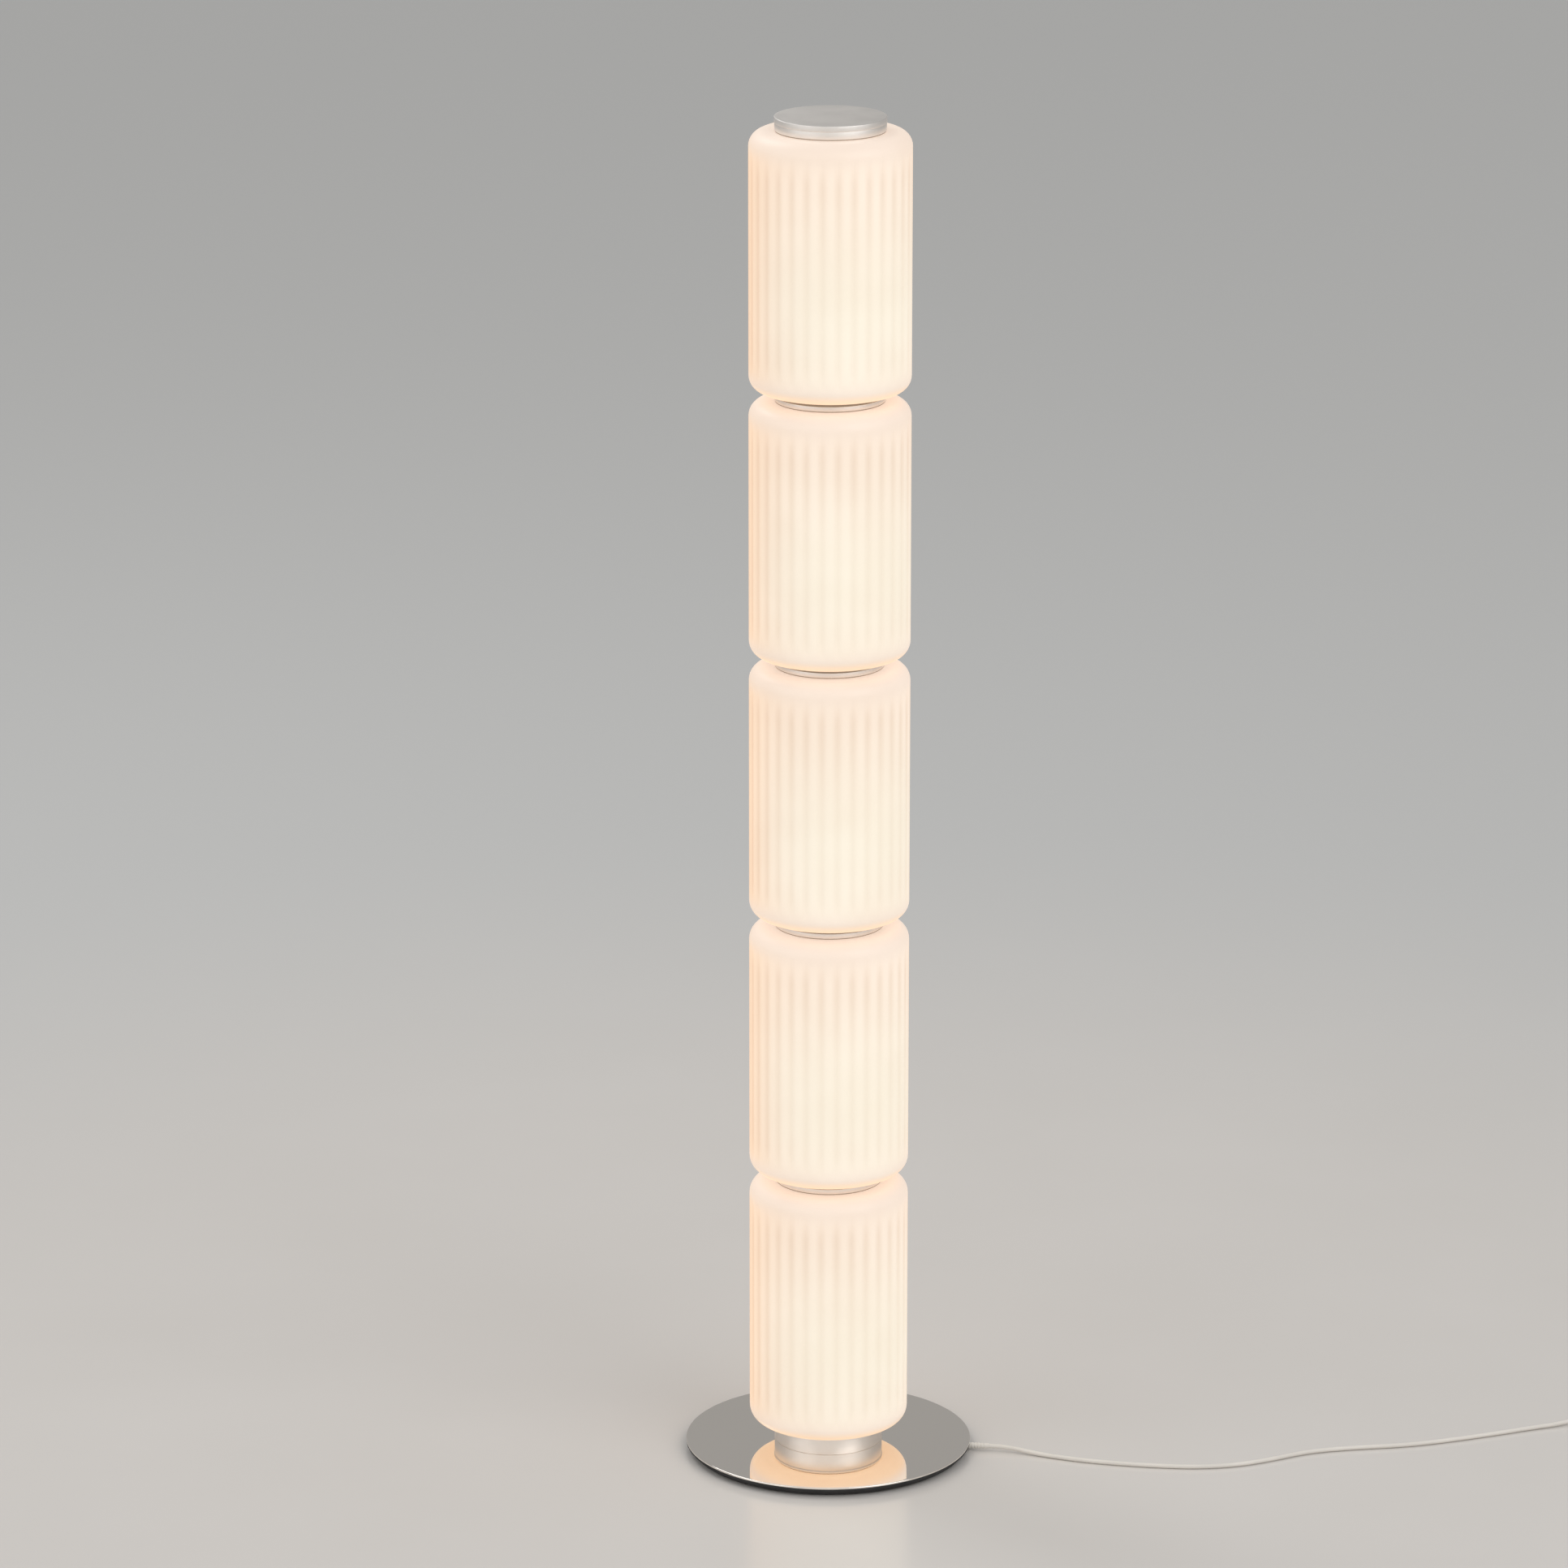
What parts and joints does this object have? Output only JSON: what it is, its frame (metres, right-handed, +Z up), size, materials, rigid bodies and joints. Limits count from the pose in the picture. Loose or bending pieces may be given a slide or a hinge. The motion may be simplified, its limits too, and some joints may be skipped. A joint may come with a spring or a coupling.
{
  "type": "column floor lamp",
  "caption": "Floor lamp: a column of stacked ribbed opal glass cylinders between flat satin discs on a mirror-polished round base, with lead, foot switch and plug.",
  "frame": {"origin": "on the floor at the centre of the round base", "axes": "+Z up along the column, which is its axis of symmetry and its longest side; the lead leaves the base towards +X; the picture looks along +Y"},
  "size_m": [1.2289, 0.326, 1.5497],
  "materials": {
    "opal_glass": "ribbed opal glass, satin inside, glossy outside, lit from within",
    "satin_nickel": "satin nickel plate with a fine turned grain",
    "mirror_chrome": "mirror polished chrome plate",
    "pad_rubber": "soft non-slip foam rubber sheet",
    "gasket_silicone": "translucent grey silicone",
    "steel_tube": "drawn steel tube, zinc plated",
    "zinc_steel": "bright zinc plated steel",
    "bulb_glass": "frosted white bulb, lit",
    "bulb_brass": "stamped brass screw cap",
    "holder_plastic": "heat resistant off-white moulding",
    "cord_pvc": "smooth cream PVC sheath",
    "switch_plastic": "fine moulded cream plastic",
    "button_plastic": "polished moulded plastic",
    "contact_plastic": "dark moulded contact block",
    "pin_nickel": "nickel plated brass",
    "tie_fabric": "woven hook and loop strap"
  },
  "bodies": {
    "lamp": {"base_disc": "mirror_chrome", "base_nipple": "zinc_steel", "base_nut": "zinc_steel", "bottom_seat": "satin_nickel", "bulb_1": "bulb_glass", "bulb_2": "bulb_glass", "bulb_3": "bulb_glass", "bulb_4": "bulb_glass", "bulb_5": "bulb_glass", "bulb_caps": "bulb_brass", "cap_nipple": "zinc_steel", "channel_cover": "zinc_steel", "coil_tie": "tie_fabric", "collar": "satin_nickel", "cord_coil": "cord_pvc", "foot_pad": "pad_rubber", "holder_brackets": "zinc_steel", "inner_lead": "cord_pvc", "lamp_cord": "cord_pvc", "lampholder_1": "holder_plastic", "lampholder_2": "holder_plastic", "lampholder_3": "holder_plastic", "lampholder_4": "holder_plastic", "lampholder_5": "holder_plastic", "lampholder_nuts": "zinc_steel", "plug_body": "switch_plastic", "plug_cord": "cord_pvc", "plug_pins": "pin_nickel", "second_cord": "cord_pvc", "shade_1": "opal_glass", "shade_2": "opal_glass", "shade_3": "opal_glass", "shade_4": "opal_glass", "shade_gaskets": "gasket_silicone", "spacer_disc_1": "satin_nickel", "spacer_disc_2": "satin_nickel", "spacer_disc_3": "satin_nickel", "spacer_disc_4": "satin_nickel", "stem_loom": "cord_pvc", "stem_nipples": "zinc_steel", "stem_tube_1": "steel_tube", "stem_tube_2": "steel_tube", "stem_tube_3": "steel_tube", "stem_tube_4": "steel_tube", "stem_tube_5": "steel_tube", "strain_relief": "cord_pvc", "switch_contacts": "contact_plastic", "switch_cover": "switch_plastic", "switch_sleeves": "cord_pvc", "switch_tray": "switch_plastic", "terminal_block": "holder_plastic", "tier_leads": "cord_pvc"},
    "top_shade": {"shade_5": "opal_glass"},
    "cap": {"top_cap": "satin_nickel", "top_seat": "satin_nickel", "cap_gasket": "gasket_silicone"},
    "button": {"switch_button": "button_plastic"}
  },
  "joints": [
    {"name": "top_shade_lift", "type": "slide", "parent": "lamp", "child": "top_shade", "axis": [0, 0, 1], "range_m": [0, 0.31]},
    {"name": "cap_lift", "type": "slide", "parent": "top_shade", "child": "cap", "axis": [0, 0, 1], "range_m": [0, 0.04]},
    {"name": "switch_press", "type": "slide", "parent": "lamp", "child": "button", "axis": [0, 0, -1], "range_m": [0, 0.0025], "stiffness_N_per_m": 600, "springref_m": -0.001}
  ]
}
